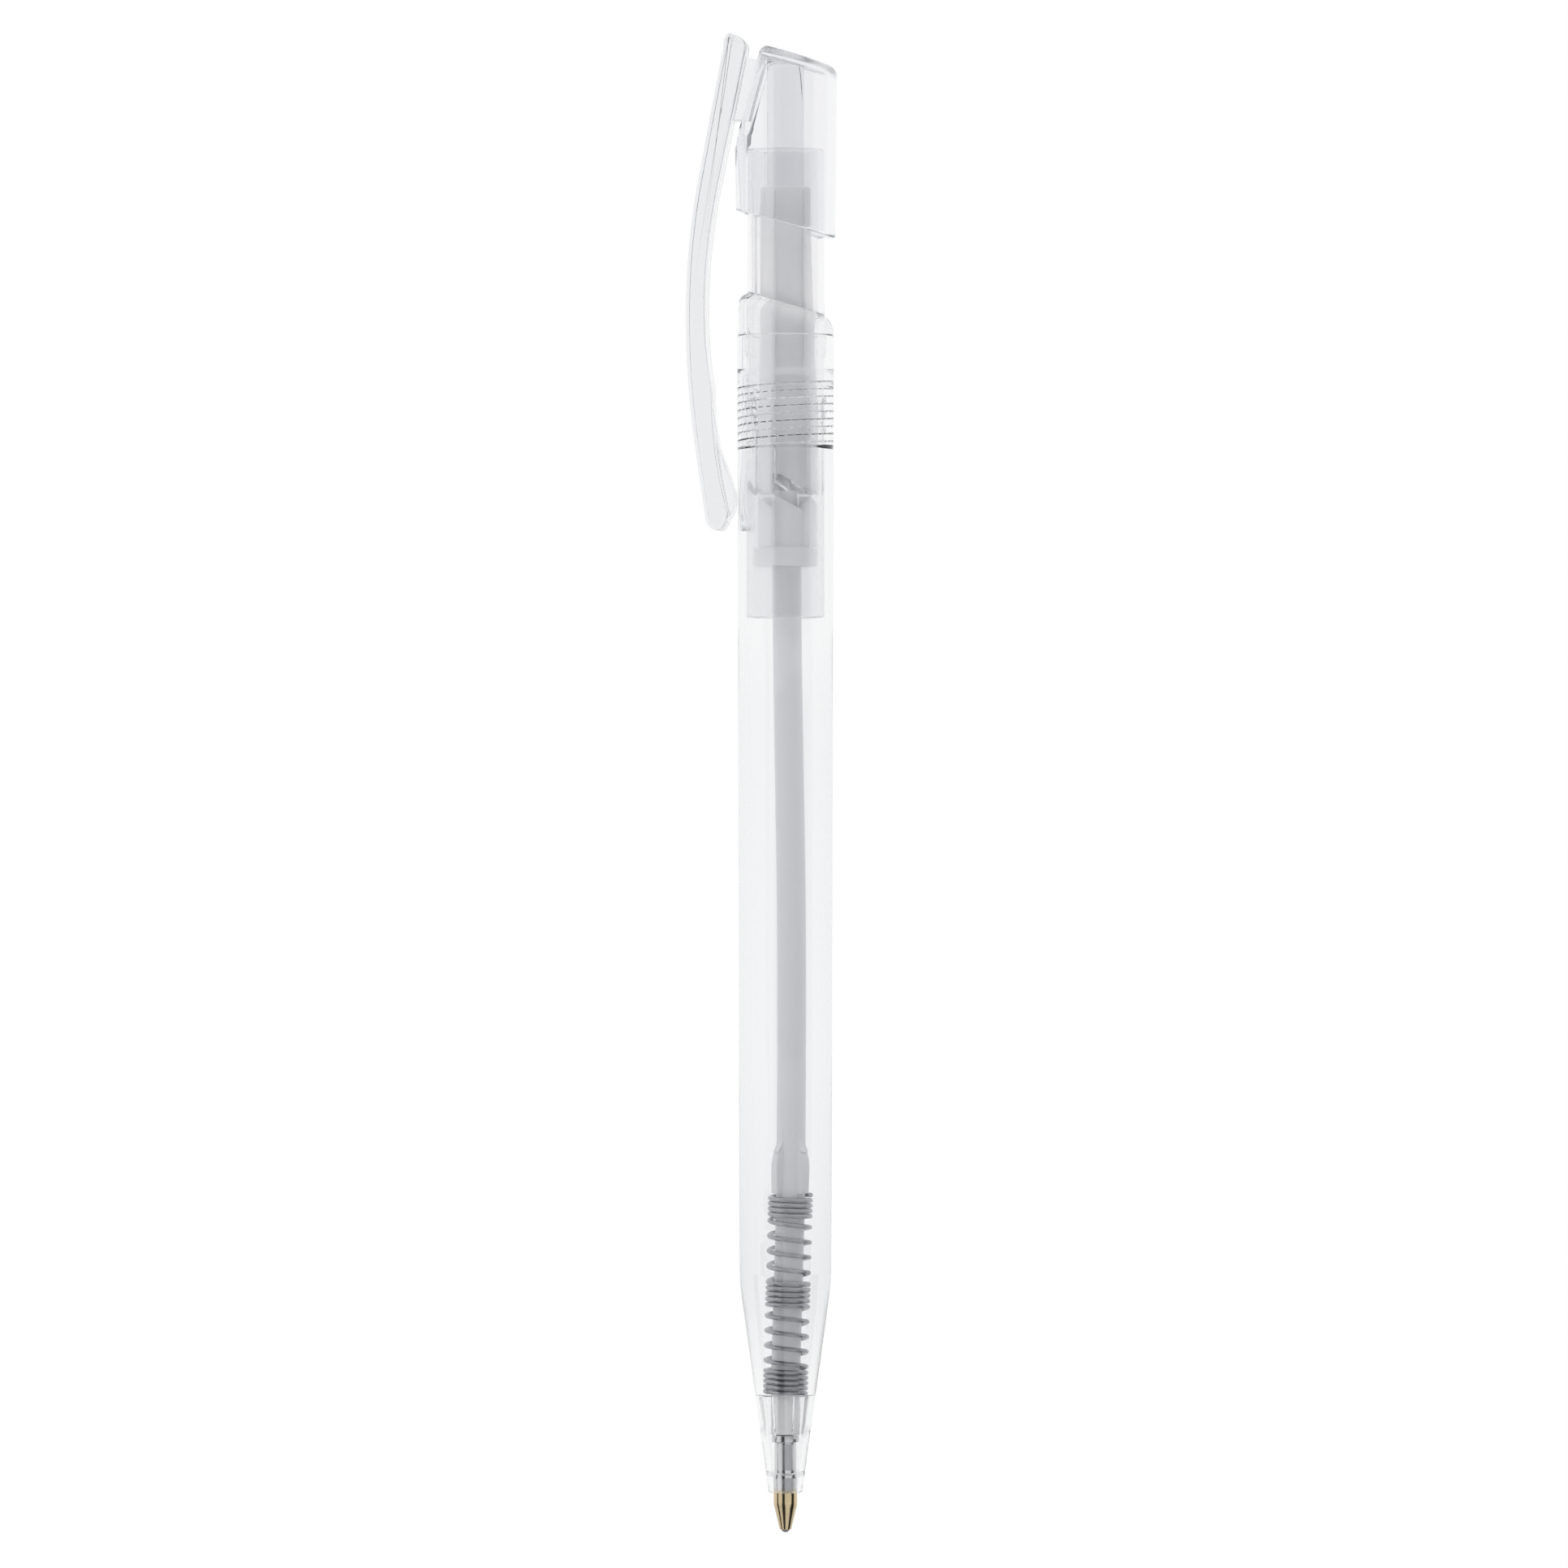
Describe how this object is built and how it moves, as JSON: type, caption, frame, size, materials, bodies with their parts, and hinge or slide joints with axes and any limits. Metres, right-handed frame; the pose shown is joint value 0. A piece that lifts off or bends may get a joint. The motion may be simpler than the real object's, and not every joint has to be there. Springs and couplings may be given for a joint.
{
  "type": "retractable ballpoint pen",
  "caption": "Clear plastic push-button ballpoint pen: tapered barrel, sleeve with click cam, oblique-topped push cap with pocket clip, spring-loaded refill with brass-toned point",
  "frame": {"origin": "on the pen's own axis in the middle of the finger grip, 35 mm above the writing point, where a hand or a holder takes it", "axes": "+Z along the pen's axis from the writing point to the push cap (its long direction); +X away from the pocket clip, which is on the -X side; +Y completes the right-handed set"},
  "size_m": [0.0145, 0.01, 0.1453],
  "materials": {
    "clear_plastic": "clear colourless styrene plastic, glossy as moulded",
    "frosted_plastic": "natural milky acetal, satin",
    "tube_plastic": "natural milky polypropylene tube, satin",
    "ink": "black ink paste seen through the tube wall",
    "follower_grease": "pale clear grease",
    "tip_brass": "turned brass with a thin bright plating",
    "ball_carbide": "polished hard-metal ball",
    "spring_steel": "bright drawn spring wire"
  },
  "bodies": {
    "body": {"barrel": "clear_plastic", "upper_sleeve": "clear_plastic", "return_spring": "spring_steel"},
    "button": {"push_cap_clip": "clear_plastic", "plunger": "frosted_plastic"},
    "refill": {"refill_tube": "tube_plastic", "ink_column": "ink", "grease_follower": "follower_grease", "metal_tip": "tip_brass"},
    "rotor": {"cam_rotor": "frosted_plastic"},
    "ball": {"writing_ball": "ball_carbide"}
  },
  "joints": [
    {"name": "button_press", "type": "slide", "parent": "body", "child": "button", "axis": [0, 0, -1], "range_m": [-0.005, 0.0015], "stiffness_N_per_m": 250},
    {"name": "refill_slide", "type": "slide", "parent": "body", "child": "refill", "axis": [0, 0, -1], "range_m": [-0.005, 0.0015], "deforming": ["return_spring"]},
    {"name": "rotor_turn", "type": "hinge", "parent": "refill", "child": "rotor", "pos_m": [0, 0, 0.0618], "axis": [0, 0, 1], "continuous": true},
    {"name": "ball_roll", "type": "hinge", "parent": "refill", "child": "ball", "pos_m": [0, 0, -0.03455], "axis": [0, 0, 1], "continuous": true}
  ],
  "couplings": [
    {"joint": "refill_slide", "follows": "button_press", "ratio": 1}
  ]
}
